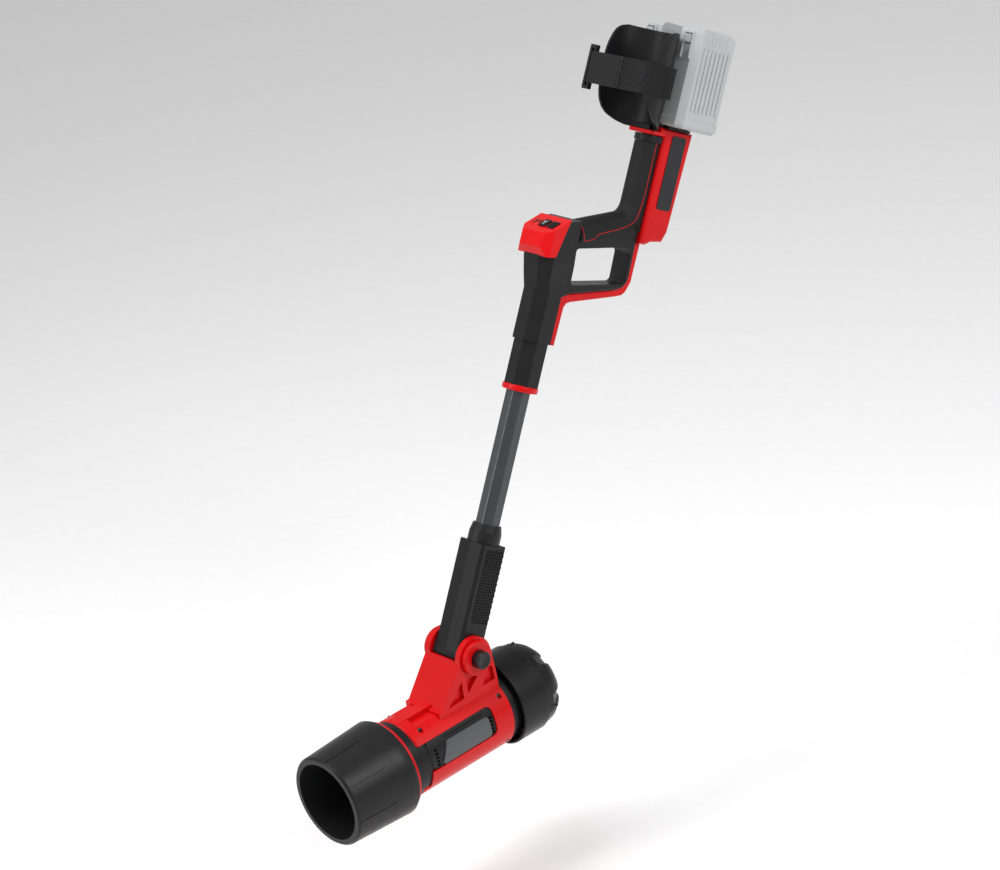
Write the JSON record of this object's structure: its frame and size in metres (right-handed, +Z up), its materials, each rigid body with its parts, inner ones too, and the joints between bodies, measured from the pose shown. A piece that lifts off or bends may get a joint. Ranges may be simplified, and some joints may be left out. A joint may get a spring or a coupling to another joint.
{
  "type": "leaf blower",
  "caption": "Cordless long-pole axial leaf blower with a tilting fan head, pull-off cone nozzle, looped hand grip, strapped forearm cuff and battery packs that slide off.",
  "frame": {"origin": "middle of the main hand grip", "axes": "+X the operator's left, -Y forward (the air leaves along -Y), +Z up with the fan blowing level"},
  "size_m": [0.1326, 0.8442, 0.8445],
  "materials": {
    "nozzle_plastic": "moulded, fine matt grain",
    "black_plastic": "moulded, matt",
    "red_plastic": "moulded, satin gloss",
    "spine_plastic": "moulded, satin gloss",
    "cap_plastic": "moulded, satin gloss",
    "steel": "zinc plated",
    "panel_plastic": "moulded, matt",
    "plate_plastic": "smooth satin",
    "motor_steel": "turned",
    "bearing_steel": "ground",
    "impeller_plastic": "moulded",
    "bearing_brass": "turned",
    "button_plastic": "moulded, satin",
    "pole_metal": "dark anodised",
    "cable_rubber": "sheath",
    "arm_plastic": "moulded, fine matt grain",
    "arm_insert_plastic": "moulded, ribbed",
    "handle_plastic": "moulded, fine matt grain",
    "grip_rubber": "soft overmoulding",
    "window_plastic": "polished",
    "key_plastic": "moulded, satin",
    "name_plate_plastic": "smooth satin, blank",
    "board_plastic": "laminate",
    "cuff_plastic": "moulded, fine matt grain",
    "webbing": "woven, ribbed",
    "buckle_plastic": "moulded",
    "terminal_brass": "stamped",
    "pack_plastic": "moulded, light grey, matt",
    "cell_metal": "wrapped cells",
    "latch_plastic": "moulded"
  },
  "bodies": {
    "handle": {"hinge_bush": "bearing_brass", "pole_tube": "pole_metal", "pole_cable": "cable_rubber", "lower_arm_left": "arm_plastic", "lower_arm_right": "arm_plastic", "arm_insert": "arm_insert_plastic", "handle_shell_left": "handle_plastic", "handle_shell_right": "handle_plastic", "spine_shell_left": "spine_plastic", "spine_shell_right": "spine_plastic", "grip_rubber": "grip_rubber", "grip_collar": "handle_plastic", "sleeve_ring": "spine_plastic", "control_cap": "cap_plastic", "indicator_window": "window_plastic", "name_plate_left": "name_plate_plastic", "name_plate_right": "name_plate_plastic", "spine_vent": "handle_plastic", "control_board": "board_plastic", "forearm_cuff": "cuff_plastic", "cuff_strap": "webbing", "strap_buckle": "buckle_plastic", "battery_dock": "handle_plastic", "dock_terminals_left": "terminal_brass", "dock_terminals_right": "terminal_brass", "handle_screws": "steel"},
    "fan_unit": {"duct_tube": "black_plastic", "seal_ring": "red_plastic", "fan_shell_left": "red_plastic", "fan_shell_right": "red_plastic", "fan_screws": "steel", "side_panel_left": "panel_plastic", "side_panel_right": "panel_plastic", "side_plate_left": "plate_plastic", "side_plate_right": "plate_plastic", "intake_ring": "black_plastic", "intake_guard": "black_plastic", "motor_mount": "black_plastic", "motor_can": "motor_steel", "motor_bearing_front": "bearing_steel", "motor_bearing_rear": "bearing_steel", "motor_nose": "black_plastic", "hinge_pin": "steel", "hinge_cap_right": "black_plastic", "button_spring": "steel"},
    "impeller": {"impeller": "impeller_plastic", "motor_shaft": "bearing_steel", "impeller_nut": "steel"},
    "nozzle": {"nozzle": "nozzle_plastic"},
    "hinge_button": {"hinge_button": "button_plastic"},
    "battery_left": {"battery_left_case": "pack_plastic", "battery_left_cells": "cell_metal"},
    "battery_left_latch": {"battery_left_latch": "latch_plastic"},
    "battery_right": {"battery_right_case": "pack_plastic", "battery_right_cells": "cell_metal"},
    "battery_right_latch": {"battery_right_latch": "latch_plastic"},
    "speed_rocker": {"speed_rocker": "key_plastic"},
    "power_button": {"power_button": "key_plastic"}
  },
  "joints": [
    {"name": "fan_tilt", "type": "hinge", "parent": "handle", "child": "fan_unit", "pos_m": [0, -0.33793, -0.4573], "axis": [1, 0, 0], "range_deg": [-20, 50]},
    {"name": "hinge_button_press", "type": "slide", "parent": "fan_unit", "child": "hinge_button", "axis": [-1, 0, 0], "range_m": [0, 0.004], "stiffness_N_per_m": 800, "springref_m": -0.003},
    {"name": "impeller_spin", "type": "hinge", "parent": "fan_unit", "child": "impeller", "pos_m": [0, -0.33793, -0.5553], "axis": [0, 1, 0], "continuous": true},
    {"name": "nozzle_pull", "type": "slide", "parent": "fan_unit", "child": "nozzle", "axis": [0, -1, 0], "range_m": [0, 0.03]},
    {"name": "battery_left_slide", "type": "slide", "parent": "handle", "child": "battery_left", "axis": [0, 0.5, 0.866], "range_m": [0, 0.05]},
    {"name": "battery_left_latch_press", "type": "slide", "parent": "battery_left", "child": "battery_left_latch", "axis": [0, 0.866, -0.5], "range_m": [0, 0.0015], "stiffness_N_per_m": 600, "springref_m": -0.002},
    {"name": "battery_right_slide", "type": "slide", "parent": "handle", "child": "battery_right", "axis": [0, 0.5, 0.866], "range_m": [0, 0.05]},
    {"name": "battery_right_latch_press", "type": "slide", "parent": "battery_right", "child": "battery_right_latch", "axis": [0, 0.866, -0.5], "range_m": [0, 0.0015], "stiffness_N_per_m": 600, "springref_m": -0.002},
    {"name": "speed_rocker_rock", "type": "hinge", "parent": "handle", "child": "speed_rocker", "pos_m": [0, -0.07618, 0.03731], "axis": [1, 0, 0], "range_deg": [-4, 4], "stiffness_Nm_per_rad": 0.3},
    {"name": "power_button_press", "type": "slide", "parent": "handle", "child": "power_button", "axis": [0, 0.0811, -0.9967], "range_m": [0, 0.0015], "stiffness_N_per_m": 500, "springref_m": -0.002}
  ]
}
